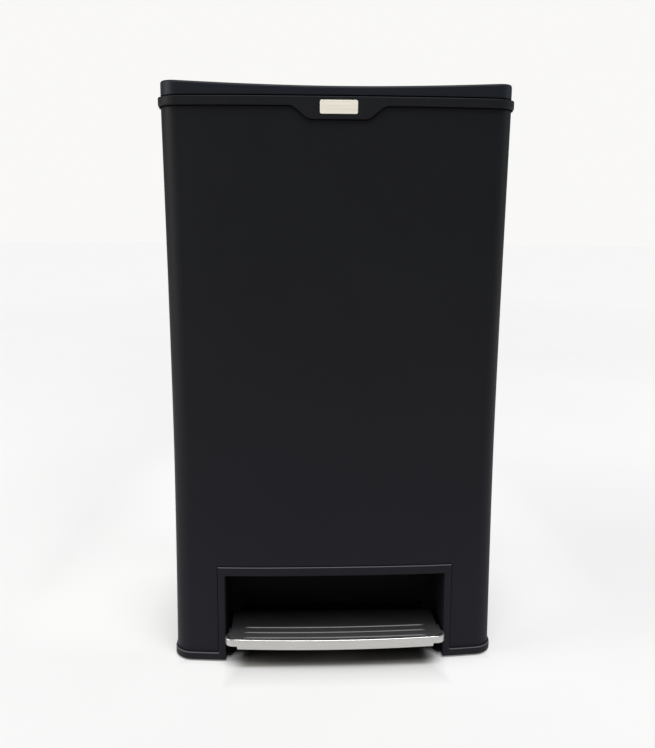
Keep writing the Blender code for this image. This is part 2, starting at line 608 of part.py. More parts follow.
# ---------------------------------------------------------------- joints
RIGS = {
    "ring_hinge": ((0, y_at(HINGE_D), HINGE_Z), ["bag_ring", "badge_plate"]),
    "lid_hinge": ((0, y_at(HINGE_D), HINGE_Z),
                  ["lid_shell", "lid_liner", "lid_lever", "lid_lever_screw_left",
                   "lid_lever_screw_right", "lid_bumper_left", "lid_bumper_right"]),
    "pedal_hinge": ((0, y_at(AXLE_D), AXLE_Z),
                    ["pedal_trim", "pedal_pad", "pedal_carrier", "pedal_lever",
                     "pedal_screw_left", "pedal_screw_right"]),
    "rod_slide": ((0, y_at(ROD_D), 0.0278), ["push_rod", "rod_foot", "rod_tip"]),
}
for rig, (at, names) in RIGS.items():
    e = bpy.data.objects.new(rig, None)
    e.location = at
    e.empty_display_size = 0.02
    PARTS.objects.link(e)
    for n in names:
        o = bpy.data.objects[n]
        o.parent = e
        o.matrix_parent_inverse = Matrix.Translation(Vector(at)).inverted()
bpy.data.objects["lid_hinge"].parent = bpy.data.objects["ring_hinge"]
bpy.data.objects["lid_hinge"].matrix_parent_inverse = Matrix.Translation(
    Vector((0, y_at(HINGE_D), HINGE_Z))).inverted()
bpy.context.view_layer.update()
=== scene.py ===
"""Looks of the pedal trash can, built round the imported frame.

Metres, the row frame: origin on the floor, the front faces -Y. Depths D are
measured from the middle of the front face, as in the design: Y = FRONT_Y + D.
"""
import json
import math

import bmesh
import bpy
from mathutils import Matrix, Vector

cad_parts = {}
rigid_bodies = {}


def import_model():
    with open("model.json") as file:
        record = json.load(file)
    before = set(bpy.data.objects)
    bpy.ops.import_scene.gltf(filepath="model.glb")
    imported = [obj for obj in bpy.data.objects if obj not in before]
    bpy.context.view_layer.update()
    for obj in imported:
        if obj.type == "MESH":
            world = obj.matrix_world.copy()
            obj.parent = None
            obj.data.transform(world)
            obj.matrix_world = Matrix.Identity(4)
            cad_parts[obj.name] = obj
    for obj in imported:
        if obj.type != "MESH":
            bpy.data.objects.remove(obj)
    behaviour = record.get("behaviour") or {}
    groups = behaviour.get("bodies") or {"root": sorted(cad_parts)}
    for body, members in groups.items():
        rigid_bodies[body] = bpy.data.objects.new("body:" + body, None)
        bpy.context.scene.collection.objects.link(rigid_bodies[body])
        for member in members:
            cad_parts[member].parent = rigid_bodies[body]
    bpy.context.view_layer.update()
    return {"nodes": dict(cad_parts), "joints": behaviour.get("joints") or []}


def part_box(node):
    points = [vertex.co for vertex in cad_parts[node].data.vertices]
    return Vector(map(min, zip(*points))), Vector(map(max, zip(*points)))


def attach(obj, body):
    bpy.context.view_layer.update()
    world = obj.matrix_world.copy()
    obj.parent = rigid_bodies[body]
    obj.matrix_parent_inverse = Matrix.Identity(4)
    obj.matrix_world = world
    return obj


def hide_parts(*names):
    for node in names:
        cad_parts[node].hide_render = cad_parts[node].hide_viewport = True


for o in list(bpy.data.objects):
    bpy.data.objects.remove(o, do_unlink=True)

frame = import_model()
N = frame["nodes"]

# ------------------------------------------------------------------ design sizes
FRONT_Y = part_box("outer_body")[0].y
BODY_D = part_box("outer_body")[1].y - FRONT_Y
BODY_W_WAIST, WAIST_Z = 0.1935, 0.275
WALL = 0.003
BOW, BOW_W = 0.010, 0.200
R_FRONT, R_REAR = 0.023, 0.022
BODY_Z0, BODY_Z1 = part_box("outer_body")[0].z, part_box("outer_body")[1].z
FLOOR_TOP = 0.137
SKIRT_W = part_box("base_tray")[1].x
TRAY_Z0, SKIRT_Z1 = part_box("base_tray")[0].z, 0.0112
OPEN_W, OPEN_Z = 0.1338, 0.1109
FRAME_W, FRAME_Z, FRAME_D = 0.1425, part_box("base_tray")[1].z, 0.012
HINGE_D, HINGE_Z = frame["joints"][0]["pos_m"][1] - FRONT_Y, frame["joints"][0]["pos_m"][2]
BORE_R = 0.0028
RING_W, RING_OUT = 0.1967, 0.0033
RING_Z0, RING_Z1 = 0.6565, 0.6665
TAB_Z, TAB_FLAT, TAB_END = 0.6422, 0.0297, 0.0547
LID_W, LID_Z0, LID_Z_EDGE, LID_Z_MID, LID_R = 0.1968, 0.6668, 0.6843, 0.6778, 0.003
FACE_FOOT, FACE_TOP, TRAY_D1 = -0.0031, -0.0010, 0.3012
AXLE_D, AXLE_Z = 0.100, 0.022
PEDAL_W, PEDAL_D0, PEDAL_D1 = 0.1335, -0.024, 0.060
PEDAL_BOW_R, PEDAL_CORNER, PEDAL_IN = 1.437, 0.010, 0.0033


def y_at(d):
    return FRONT_Y + d


# ------------------------------------------------------------------ camera, light, floor
S = bpy.context.scene
S.view_settings.view_transform = "Standard"
S.view_settings.look = "None"
S.view_settings.exposure = 0.0
S.view_settings.gamma = 1.0

cam_d = bpy.data.cameras.new("camera")
cam = bpy.data.objects.new("camera", cam_d)
S.collection.objects.link(cam)
S.camera = cam
cam_d.sensor_width = 36.0
cam_d.lens = 817.1 * 36.0 / 748.0
cam_d.clip_start, cam_d.clip_end = 0.01, 60.0
YAW, PITCH, ROLL = math.radians(2.5580), math.radians(10.5523), math.radians(0.2960)
fwd = Vector((math.sin(YAW) * math.cos(PITCH), math.cos(YAW) * math.cos(PITCH), -math.sin(PITCH)))
right0 = Vector((math.cos(YAW), -math.sin(YAW), 0.0))
up0 = right0.cross(fwd)
right = right0 * math.cos(ROLL) + up0 * math.sin(ROLL)
up = up0 * math.cos(ROLL) - right0 * math.sin(ROLL)
rot = Matrix((right, up, -fwd)).transposed()
cam.matrix_world = Matrix.Translation((-0.0523, y_at(-0.9274), 0.5323)) @ rot.to_4x4()


def area(name, at, aim, size, power, color=(1, 1, 1)):
    d = bpy.data.lights.new(name, "AREA")
    d.shape = "RECTANGLE"
    d.size, d.size_y = size
    d.energy = power
    d.color = color
    o = bpy.data.objects.new(name, d)
    S.collection.objects.link(o)
    o.location = at
    o.rotation_euler = (Vector(aim) - Vector(at)).to_track_quat("-Z", "Y").to_euler()
    return o


area("top_soft", (0.0, -0.3, 2.7), (0.0, 0.0, 0.2), (3.2, 3.2), 6)
area("left_soft", (-2.1, -0.5, 1.1), (0.0, 0.0, 0.35), (1.2, 2.0), 30, (1.0, 0.98, 0.95))
area("right_soft", (2.1, 0.0, 0.9), (0.0, 0.0, 0.30), (0.7, 1.8), 4.6, (0.80, 0.92, 1.0))
sun_d = bpy.data.lights.new("key_sun", "SUN")
sun_d.energy = 3.05
sun_d.angle = math.radians(36)
sun = bpy.data.objects.new("key_sun", sun_d)
S.collection.objects.link(sun)
sun.rotation_euler = Vector((-0.06, 0.36, -0.93)).to_track_quat("-Z", "Y").to_euler()

world = bpy.data.worlds.new("studio")
S.world = world
world.use_nodes = True
wn = world.node_tree
wn.nodes["Background"].inputs["Color"].default_value = (0.93, 0.95, 1.0, 1)
wn.nodes["Background"].inputs["Strength"].default_value = 0.30
lp = wn.nodes.new("ShaderNodeLightPath")
bg2 = wn.nodes.new("ShaderNodeBackground")
bg2.inputs["Color"].default_value = (0.947, 0.940, 0.925, 1)
bg2.inputs["Strength"].default_value = 1.0
mx = wn.nodes.new("ShaderNodeMixShader")
wn.links.new(lp.outputs["Is Camera Ray"], mx.inputs[0])
wn.links.new(wn.nodes["Background"].outputs[0], mx.inputs[1])
wn.links.new(bg2.outputs[0], mx.inputs[2])
wn.links.new(mx.outputs[0], wn.nodes["World Output"].inputs["Surface"])

# ------------------------------------------------------------------ node helpers


class Nodes:
    """Short hand for building a material's nodes."""

    def __init__(self, name, slot_rgb):
        self.m = bpy.data.materials.new(name)
        self.m.use_nodes = True
        self.t = self.m.node_tree
        self.b = self.t.nodes["Principled BSDF"]
        self.m.diffuse_color = (*slot_rgb, 1)
        self.co = self.t.nodes.new("ShaderNodeTexCoord").outputs["Object"]

    def set(self, **kw):
        for k, v in kw.items():
            self.b.inputs[k.replace("_", " ")].default_value = v
        return self

    def scaled(self, s):
        n = self.t.nodes.new("ShaderNodeMapping")
        n.inputs["Scale"].default_value = s
        self.t.links.new(self.co, n.inputs["Vector"])
        return n.outputs["Vector"]

    def noise(self, scale, detail=4.0, rough=0.55, vec=None, distortion=0.0):
        n = self.t.nodes.new("ShaderNodeTexNoise")
        n.inputs["Scale"].default_value = scale
        n.inputs["Detail"].default_value = detail
        n.inputs["Roughness"].default_value = rough
        n.inputs["Distortion"].default_value = distortion
        self.t.links.new(vec or self.co, n.inputs["Vector"])
        return n.outputs["Fac"]

    def voronoi(self, scale, feature="F1", vec=None):
        n = self.t.nodes.new("ShaderNodeTexVoronoi")
        n.feature = feature
        n.inputs["Scale"].default_value = scale
        self.t.links.new(vec or self.co, n.inputs["Vector"])
        return n.outputs["Distance"]

    def ramp(self, fac, stops):
        n = self.t.nodes.new("ShaderNodeValToRGB")
        r = n.color_ramp
        while len(r.elements) < len(stops):
            r.elements.new(0.5)
        for e, (p, c) in zip(r.elements, stops):
            e.position = p
            e.color = (*c, 1) if len(c) == 3 else c
        self.t.links.new(fac, n.inputs["Fac"])
        return n.outputs["Color"]

    def span(self, fac, a, b, lo=0.0, hi=1.0):
        n = self.t.nodes.new("ShaderNodeMapRange")
        n.inputs["From Min"].default_value = lo
        n.inputs["From Max"].default_value = hi
        n.inputs["To Min"].default_value = a
        n.inputs["To Max"].default_value = b
        self.t.links.new(fac, n.inputs["Value"])
        return n.outputs["Result"]

    def math(self, op, a, b):
        n = self.t.nodes.new("ShaderNodeMath")
        n.operation = op
        for i, v in enumerate((a, b)):
            if isinstance(v, (int, float)):
                n.inputs[i].default_value = v
            else:
                self.t.links.new(v, n.inputs[i])
        return n.outputs[0]

    def mix(self, fac, a, b):
        n = self.t.nodes.new("ShaderNodeMix")
        n.data_type = "RGBA"
        if isinstance(fac, (int, float)):
            n.inputs[0].default_value = fac
        else:
            self.t.links.new(fac, n.inputs[0])
        for i, v in ((6, a), (7, b)):
            if isinstance(v, tuple):
                n.inputs[i].default_value = (*v, 1)
            else:
                self.t.links.new(v, n.inputs[i])
        return n.outputs[2]

    def bump(self, height, strength, distance, prev=None):
        n = self.t.nodes.new("ShaderNodeBump")
        n.inputs["Strength"].default_value = strength
        n.inputs["Distance"].default_value = distance
        self.t.links.new(height, n.inputs["Height"])
        if prev is not None:
            self.t.links.new(prev, n.inputs["Normal"])
        return n.outputs["Normal"]

    def link(self, out, name):
        self.t.links.new(out, self.b.inputs[name])
        return self


def moulded_plastic(name, rgb, rough, grain=1400.0, depth=0.00006, specular=0.35, tint=0.12, dust_and_floor_reflection=None):
    """Matte injection-moulded plastic: spark-eroded grain, slow gloss drift, faint specks, and an optional painted
    reflection of the bright floor that grows towards the bottom.
    """
    n = Nodes(name, rgb)
    slow = n.noise(7.0, 3.0, 0.5)
    fine = n.noise(grain, 3.0, 0.6)
    cell = n.voronoi(grain * 0.55)
    speck = n.noise(260.0, 2.0, 0.5)
    dark = tuple(c * (1 - tint) for c in rgb)
    lite = tuple(c * (1 + tint) + 0.0004 for c in rgb)
    col = n.ramp(n.math("ADD", n.math("MULTIPLY", slow, 0.6), n.math("MULTIPLY", speck, 0.4)),
                 [(0.30, dark), (0.70, lite)])
    if dust_and_floor_reflection:
        # painted reflection of the bright floor: a paler, purple-tinted colour that grows towards the floor
        z = n.t.nodes.new("ShaderNodeSeparateXYZ")
        n.t.links.new(n.co, z.inputs[0])
        low = n.span(z.outputs["Z"], 1.0, 0.0, 0.02, 0.50)
        col = n.mix(n.math("MULTIPLY", low, n.span(slow, 0.85, 1.0, 0.3, 0.7)), col, dust_and_floor_reflection)
    n.link(col, "Base Color")
    r = n.math("ADD", n.span(slow, rough - 0.04, rough + 0.05, 0.3, 0.7),
               n.span(fine, -0.03, 0.03, 0.3, 0.7))
    n.link(r, "Roughness")
    h = n.math("ADD", fine, n.math("MULTIPLY", cell, 0.6))
    n.link(n.bump(h, 0.55, depth), "Normal")
    n.set(Specular_IOR_Level=specular, IOR=1.48)
    return n.m


def brushed(name, rgb, rough, along="X", streak=900.0, depth=0.00002, rough_span=0.08):
    """Satin metal with fine straight brush lines along one axis."""
    n = Nodes(name, rgb)
    sc = {"X": (6.0, streak, streak), "Z": (streak, streak, 6.0), "Y": (streak, 6.0, streak)}[along]
    lines = n.noise(1.0, 4.0, 0.7, n.scaled(sc))
    slow = n.noise(9.0, 2.0, 0.5)
    dark = tuple(c * 0.90 for c in rgb)
    lite = tuple(min(c * 1.06, 1.0) for c in rgb)
    n.link(n.ramp(lines, [(0.35, dark), (0.65, lite)]), "Base Color")
    n.link(n.math("ADD", n.span(lines, rough - rough_span, rough + rough_span, 0.3, 0.7),
                  n.span(slow, -0.03, 0.03, 0.3, 0.7)), "Roughness")
    n.link(n.bump(lines, 0.35, depth), "Normal")
    n.set(Metallic=1.0)
    return n.m


def rubber(name, rgb, rough, specular=0.3):
    n = Nodes(name, rgb)
    fine = n.noise(2600.0, 3.0, 0.6)
    slow = n.noise(30.0, 4.0, 0.6)
    dust_and_floor_reflection = n.noise(420.0, 5.0, 0.7)
    dark = tuple(c * 0.82 for c in rgb)
    lite = tuple(c * 1.15 for c in rgb)
    base = n.ramp(slow, [(0.3, dark), (0.7, lite)])
    n.link(n.mix(n.span(dust_and_floor_reflection, 0.0, 0.22, 0.55, 0.80), base,
                 tuple(min(c * 1.9 + 0.01, 1) for c in rgb)), "Base Color")
    n.link(n.span(slow, rough - 0.05, rough + 0.06, 0.3, 0.7), "Roughness")
    n.link(n.bump(n.math("ADD", fine, n.math("MULTIPLY", dust_and_floor_reflection, 0.4)), 0.5, 0.00005), "Normal")
    n.set(Specular_IOR_Level=specular)
    return n.m


def zinc(name, rgb, rough):
    """Zinc-plated steel: soft cloudy spangle over a fine grain."""
    n = Nodes(name, rgb)
    cells = n.voronoi(160.0)
    cloud = n.noise(60.0, 4.0, 0.6)
    fine = n.noise(1800.0, 3.0, 0.6)
    mixv = n.math("ADD", n.math("MULTIPLY", cells, 0.7), n.math("MULTIPLY", cloud, 0.5))
    n.link(n.ramp(mixv, [(0.2, tuple(c * 0.8 for c in rgb)), (0.8, tuple(min(c * 1.12, 1) for c in rgb))]),
           "Base Color")
    n.link(n.span(cloud, rough - 0.08, rough + 0.1, 0.3, 0.7), "Roughness")
    n.link(n.bump(fine, 0.3, 0.00002), "Normal")
    n.set(Metallic=1.0)
    return n.m


# the body gets a painted reflection of the bright floor, paler and more purple towards its foot
M_BODY = moulded_plastic("body_plastic", (0.0058, 0.0062, 0.0072), 0.50, specular=0.12, dust_and_floor_reflection=(0.0106, 0.0096, 0.0142))
M_LID = moulded_plastic("lid_plastic", (0.0060, 0.0078, 0.0120), 0.47, grain=1700.0, specular=0.17)
M_INNER = moulded_plastic("inner_plastic", (0.0056, 0.0057, 0.0066), 0.58, grain=900.0, specular=0.12)
M_POCKET = moulded_plastic("pocket_plastic", (0.0075, 0.0076, 0.0080), 0.66, grain=900.0, specular=0.12)
M_PAD = rubber("pad_rubber", (0.0125, 0.0125, 0.0136), 0.60, 0.08)
M_RING = moulded_plastic("ring_plastic", (0.0076, 0.0080, 0.0094), 0.50, specular=0.12)
# near-black material for strips that stand in for the shade in the gaps at the ring and the lid: painted shade
M_GAP_SHADE = rubber("gap_shade_black", (0.0012, 0.0012, 0.0013), 0.85, 0.03)
# rounded edges: a painted highlight makes them paler, most where they face up towards the top light
M_EDGE = moulded_plastic("edge_plastic", (0.0080, 0.0080, 0.0092), 0.50, specular=0.14)
en = M_EDGE.node_tree
facing = en.nodes.new("ShaderNodeNewGeometry")
split = en.nodes.new("ShaderNodeSeparateXYZ")
en.links.new(facing.outputs["Normal"], split.inputs[0])
painted_highlight_mask = en.nodes.new("ShaderNodeMapRange")
painted_highlight_mask.inputs["From Min"].default_value, painted_highlight_mask.inputs["From Max"].default_value = 0.15, 0.60
en.links.new(split.outputs["Z"], painted_highlight_mask.inputs["Value"])
painted_light_mix = en.nodes.new("ShaderNodeMix")
painted_light_mix.data_type = "RGBA"
en.links.new(painted_highlight_mask.outputs["Result"], painted_light_mix.inputs["Factor"])
bsdf_in = en.nodes["Principled BSDF"].inputs["Base Color"]
en.links.new(bsdf_in.links[0].from_socket, painted_light_mix.inputs[6])
painted_light_mix.inputs[7].default_value = (0.085, 0.085, 0.088, 1.0)
en.links.new(painted_light_mix.outputs[2], bsdf_in)
M_FOOT = rubber("foot_rubber", (0.020, 0.020, 0.021), 0.70)
M_SILVER = brushed("silver_trim", (0.56, 0.55, 0.535), 0.34)
M_BADGE = brushed("badge_metal", (0.87, 0.82, 0.70), 0.42, streak=1400.0)
M_BADGE.node_tree.nodes["Principled BSDF"].inputs["Metallic"].default_value = 0.35
# the silver wraps the front of the pedal; further in, its colour is darkened to near black as painted shade inside the
# pedal pocket
sn = M_SILVER.node_tree
where = sn.nodes.new("ShaderNodeTexCoord")
split = sn.nodes.new("ShaderNodeSeparateXYZ")
sn.links.new(where.outputs["Object"], split.inputs[0])
painted_shade_mask = sn.nodes.new("ShaderNodeMapRange")
painted_shade_mask.inputs["From Min"].default_value, painted_shade_mask.inputs["From Max"].default_value = y_at(0.010), y_at(0.013)
sn.links.new(split.outputs["Y"], painted_shade_mask.inputs["Value"])
painted_light_mix = sn.nodes.new("ShaderNodeMix")
painted_light_mix.data_type = "RGBA"
sn.links.new(painted_shade_mask.outputs["Result"], painted_light_mix.inputs["Factor"])
bsdf_in = sn.nodes["Principled BSDF"].inputs["Base Color"]
if bsdf_in.links:
    sn.links.new(bsdf_in.links[0].from_socket, painted_light_mix.inputs[6])
else:
    painted_light_mix.inputs[6].default_value = bsdf_in.default_value
painted_light_mix.inputs[7].default_value = (0.012, 0.012, 0.013, 1.0)
sn.links.new(painted_light_mix.outputs[2], bsdf_in)
M_STEEL = zinc("zinc_steel", (0.46, 0.47, 0.49), 0.34)

# ------------------------------------------------------------------ mesh helpers


def add_piece(name, me, mat, body, replaces=(), smooth=True):
    o = bpy.data.objects.new(name, me)
    S.collection.objects.link(o)
    me.materials.clear()
    me.materials.append(mat)
    if smooth:
        me.shade_smooth()
    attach(o, body)
    if replaces:
        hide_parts(*replaces)
    return o


def bm_mesh(bm, name):
    me = bpy.data.meshes.new(name)
    bm.normal_update()
    bm.to_mesh(me)
    bm.free()
    return me


def bevel(o, width, segments=2, angle=35.0, weighted=True):
    b = o.modifiers.new("edge", "BEVEL")
    b.width = width
    b.segments = segments
    b.limit_method = "ANGLE"
    b.angle_limit = math.radians(angle)
    b.harden_normals = False
    b.use_clamp_overlap = True
    b.miter_outer = "MITER_ARC"
    if weighted:
        w = o.modifiers.new("normals", "WEIGHTED_NORMAL")
        w.keep_sharp = True
        w.weight = 80
    return o


def solidify(o, t, offset=-1.0):
    s = o.modifiers.new("wall", "SOLIDIFY")
    s.thickness = t
    s.offset = offset
    s.use_even_offset = True
    s.use_quality_normals = True
    return o


def front_bow(x):
    return BOW * (abs(x) / BOW_W) ** 3


def pedal_bow(x):
    return x * x / (2 * PEDAL_BOW_R)


def half_width(z):
    k = 4.56e-1 if z > WAIST_Z else 5.9e-1
    return BODY_W_WAIST + k * 0.001 * (abs(z - WAIST_Z) * 1000) ** 1.5 * 0.001


def plan(w, off, front_x, rear_x, d0=0.0, d1=None, r1=R_FRONT, r2=R_REAR, bow=front_bow, nc=12, side=()):
    """Closed outline, anticlockwise from the middle of the front: (x, depth)."""
    d1 = BODY_D if d1 is None else d1
    ww, r1o, r2o = w - off, max(r1 - off, 0.002), max(r2 - off, 0.002)
    px, a = ww - r1o, 0.0
    for _ in range(6):
        a = math.atan((bow(px + 1e-5) - bow(px - 1e-5)) / 2e-5)
        px = ww - r1o + r1o * math.sin(a)
    cy = d0 + off + bow(px) + r1o * math.cos(a)
    half = [(x, d0 + off + bow(x)) for x in front_x if x < px - 0.001]
    while len(half) < len(front_x):
        half.append((half[-1][0] + (px - half[-1][0]) * 0.5, d0 + off + bow(half[-1][0])))
    for j in range(nc + 1):
        t = -math.pi / 2 + a + (math.pi / 2 - a) * j / nc
        half.append((ww - r1o + r1o * math.cos(t), cy + r1o * math.sin(t)))
    half += [(ww, d) for d in side]
    for j in range(nc + 1):
        t = math.pi / 2 * j / nc
        half.append((ww - r2o + r2o * math.cos(t), d1 - off - r2o + r2o * math.sin(t)))
    half += [(x, d1 - off) for x in reversed(rear_x)]
    return half + [(-x, d) for x, d in reversed(half[1:-1])]


def grid_rows(bm, rows, closed=True, skip=None):
    """Rows of points to quads. rows run bottom to top for outward faces."""
    vs = [[bm.verts.new(p) for p in r] for r in rows]
    n = len(rows[0])
    faces = []
    for k in range(len(rows) - 1):
        for i in range(n if closed else n - 1):
            j = (i + 1) % n
            if skip and skip(k, i, j):
                continue
            faces.append(bm.faces.new((vs[k][i], vs[k][j], vs[k + 1][j], vs[k + 1][i])))
    return vs, faces


def drop_loose(bm):
    bmesh.ops.delete(bm, geom=[v for v in bm.verts if not v.link_faces], context="VERTS")


def box_mesh(name, x, d, z):
    bm = bmesh.new()
    bmesh.ops.create_cube(bm, size=1.0)
    bmesh.ops.scale(bm, vec=(x[1] - x[0], d[1] - d[0], z[1] - z[0]), verts=bm.verts)
    bmesh.ops.translate(bm, vec=((x[0] + x[1]) / 2, y_at((d[0] + d[1]) / 2), (z[0] + z[1]) / 2),
                        verts=bm.verts)
    return bm_mesh(bm, name)


def outline_mesh(name, loops, lo, hi, plane):
    """Filled outline (first loop) with holes (the others), thickened from lo to hi."""
    cu = bpy.data.curves.new(name, "CURVE")
    cu.dimensions = "2D"
    cu.fill_mode = "BOTH"
    cu.extrude = (hi - lo) / 2
    for pts in loops:
        sp = cu.splines.new("POLY")
        sp.points.add(len(pts) - 1)
        for p, q in zip(sp.points, pts):
            p.co = (q[0], q[1], 0, 1)
        sp.use_cyclic_u = True
    co = bpy.data.objects.new(name + "_tmp", cu)
    S.collection.objects.link(co)
    bpy.context.view_layer.update()
    me = bpy.data.meshes.new_from_object(co.evaluated_get(bpy.context.evaluated_depsgraph_get()))
    bpy.data.objects.remove(co, do_unlink=True)
    bpy.data.curves.remove(cu)
    bm = bmesh.new()
    bm.from_mesh(me)
    bpy.data.meshes.remove(me)
    bmesh.ops.remove_doubles(bm, verts=bm.verts, dist=0.000001)
    bmesh.ops.dissolve_limit(bm, angle_limit=0.001, verts=bm.verts, edges=bm.edges)
    bmesh.ops.recalc_face_normals(bm, faces=bm.faces)
    mid = (lo + hi) / 2
    if plane == "XY":
        m = Matrix.Translation((0, FRONT_Y, mid))
    elif plane == "XZ":
        m = Matrix.Translation((0, y_at(mid), 0)) @ Matrix.Rotation(math.pi / 2, 4, "X")
    else:
        m = Matrix.Translation((mid, FRONT_Y, 0)) @ Matrix(
            ((0, 0, 1, 0), (1, 0, 0, 0), (0, 1, 0, 0), (0, 0, 0, 1)))
    bmesh.ops.transform(bm, matrix=m, verts=bm.verts)
    return bm_mesh(bm, name)


def cut_mesh(o, cutter_me, op="DIFFERENCE"):
    """Boolean applied at once, so that no cutter stays in the scene."""
    c = bpy.data.objects.new("cutter", cutter_me)
    S.collection.objects.link(c)
    m = o.modifiers.new("cut", "BOOLEAN")
    m.operation, m.solver, m.object = op, "EXACT", c
    bpy.context.view_layer.update()
    dg = bpy.context.evaluated_depsgraph_get()
    me = bpy.data.meshes.new_from_object(o.evaluated_get(dg))
    o.modifiers.remove(m)
    old = o.data
    mats = list(old.materials)
    o.data = me
    me.materials.clear()
    for k in mats:
        me.materials.append(k)
    bpy.data.meshes.remove(old)
    bpy.data.objects.remove(c, do_unlink=True)
    bpy.data.meshes.remove(cutter_me)
    return o


def circle(cx, cy, r, n=32):
    return [(cx + r * math.cos(2 * math.pi * i / n), cy + r * math.sin(2 * math.pi * i / n))
            for i in range(n)]


def rounded_rect(x0, x1, y0, y1, r, n=6):
    pts = []
    for cx, cy, a0 in ((x1 - r, y0 + r, -90), (x1 - r, y1 - r, 0), (x0 + r, y1 - r, 90), (x0 + r, y0 + r, 180)):
        for k in range(n + 1):
            t = math.radians(a0 + 90 * k / n)
            pts.append((cx + r * math.cos(t), cy + r * math.sin(t)))
    return pts


# ------------------------------------------------------------------ outer body
FX = [0, 0.03, 0.06, 0.09, 0.115, 0.1338, FRAME_W + 0.0004, 0.150, 0.160]
RX = [0, 0.03, 0.06, 0.09, 0.12, 0.15]
HOLE_X, HOLE_Z = FRAME_W + 0.0004, FRAME_Z + 0.0009
zs = [BODY_Z0 + 0.0006 + (HOLE_Z - BODY_Z0 - 0.0006) * i / 5 for i in range(6)]
zs += [HOLE_Z + (BODY_Z1 - HOLE_Z) * (i + 1) / 22 for i in range(22)]
rows = [[Vector((x, y_at(d), z)) for x, d in plan(half_width(z), 0, FX, RX)] for z in zs]
n_pts = len(rows[0])
bm = bmesh.new()


def in_hole(k, i, j):
    a, b = rows[k][i], rows[k][j]
    front = a.y < y_at(0.02) and b.y < y_at(0.02)
    return (front and abs(a.x) < HOLE_X + 1e-4 and abs(b.x) < HOLE_X + 1e-4
            and zs[k + 1] < HOLE_Z + 1e-4)


grid_rows(bm, rows, True, in_hole)
drop_loose(bm)
shell = add_piece("body_shell", bm_mesh(bm, "body_shell"), M_BODY, "body", ("outer_body",))
solidify(shell, WALL)
bevel(shell, 0.0006, 3, 40)

# bin floor with a shallow moulded border
bm = bmesh.new()
w_in = half_width(FLOOR_TOP) - WALL
prof = [(0.0, FLOOR_TOP - 0.003), (0.0, FLOOR_TOP + 0.006), (0.0015, FLOOR_TOP + 0.0025), (0.0045, FLOOR_TOP + 0.0006),
        (0.010, FLOOR_TOP), (0.026, FLOOR_TOP), (0.028, FLOOR_TOP - 0.0004), (0.030, FLOOR_TOP - 0.0016),
        (0.033, FLOOR_TOP - 0.0020)]
vs, _ = grid_rows(bm, [[(x, y_at(d), z) for x, d in plan(w_in, o, FX, RX, WALL, BODY_D - WALL, R_FRONT - WALL,
                                                         R_REAR - WALL, nc=8)] for o, z in prof])
bm.faces.new(vs[-1])
bm.faces.new(vs[0][::-1])
floor_piece = add_piece("bin_floor", bm_mesh(bm, "bin_floor"), M_INNER, "body")
bevel(floor_piece, 0.0003, 2, 50)

# ------------------------------------------------------------------ base tray
FXT = [0, 0.03, 0.06, 0.09, 0.115, OPEN_W, FRAME_W, 0.150, 0.160]
zt = [TRAY_Z0, 0.0066, SKIRT_Z1, 0.030, 0.060, 0.085, OPEN_Z, FRAME_Z]


def face_at(z):
    return FACE_FOOT + (FACE_TOP - FACE_FOOT) * (z - TRAY_Z0) / (FRAME_Z - TRAY_Z0)


rows_t = [[Vector((x, y_at(d), z)) for x, d in plan(SKIRT_W, 0, FXT, RX, face_at(z), TRAY_D1, R_FRONT + 0.001)]
          for z in zt]
bm = bmesh.new()


def tray_skip(k, i, j):
    a, b = rows_t[k][i], rows_t[k][j]
    front = a.y < y_at(0.02) and b.y < y_at(0.02)
    lim = max(abs(a.x), abs(b.x))
    if front and lim < OPEN_W + 1e-4 and zt[k + 1] < OPEN_Z + 1e-4:
        return True
    if zt[k + 1] <= SKIRT_Z1 + 1e-5:
        return False
    return not (front and lim < FRAME_W + 1e-4)


grid_rows(bm, rows_t, True, tray_skip)
drop_loose(bm)
tray = add_piece("base_tray_shell", bm_mesh(bm, "base_tray_shell"), M_BODY, "body", ("base_tray",))
# the tray's bevel faces take the edge material with its painted highlight
tray.data.materials.append(M_EDGE)
solidify(tray, FRAME_D)
bevel(tray, 0.0010, 3, 40).modifiers["edge"].material = 1

# floor plate under the can, with its cut-back front edge
plate_pts = [(x, d) for x, d in plan(SKIRT_W, 0.006, FXT, RX, nc=6)]
plate = add_piece("tray_plate", outline_mesh("tray_plate", [plate_pts], 0.0027, 0.0060, "XY"),
                  M_BODY, "body")
cutp = [(OPEN_W, -0.020), (OPEN_W, 0.0005), (0.1288, 0.0085), (0.125, 0.015), (0.1215, 0.024), (0.118, 0.034),
        (0.1155, 0.0369), (0.112, 0.038)]
cutp = [(-x, d) for x, d in cutp] + cutp[::-1]
cut_mesh(plate, outline_mesh("plate_cut", [cutp], -0.01, 0.02, "XY"))
bevel(plate, 0.0008, 2, 40)

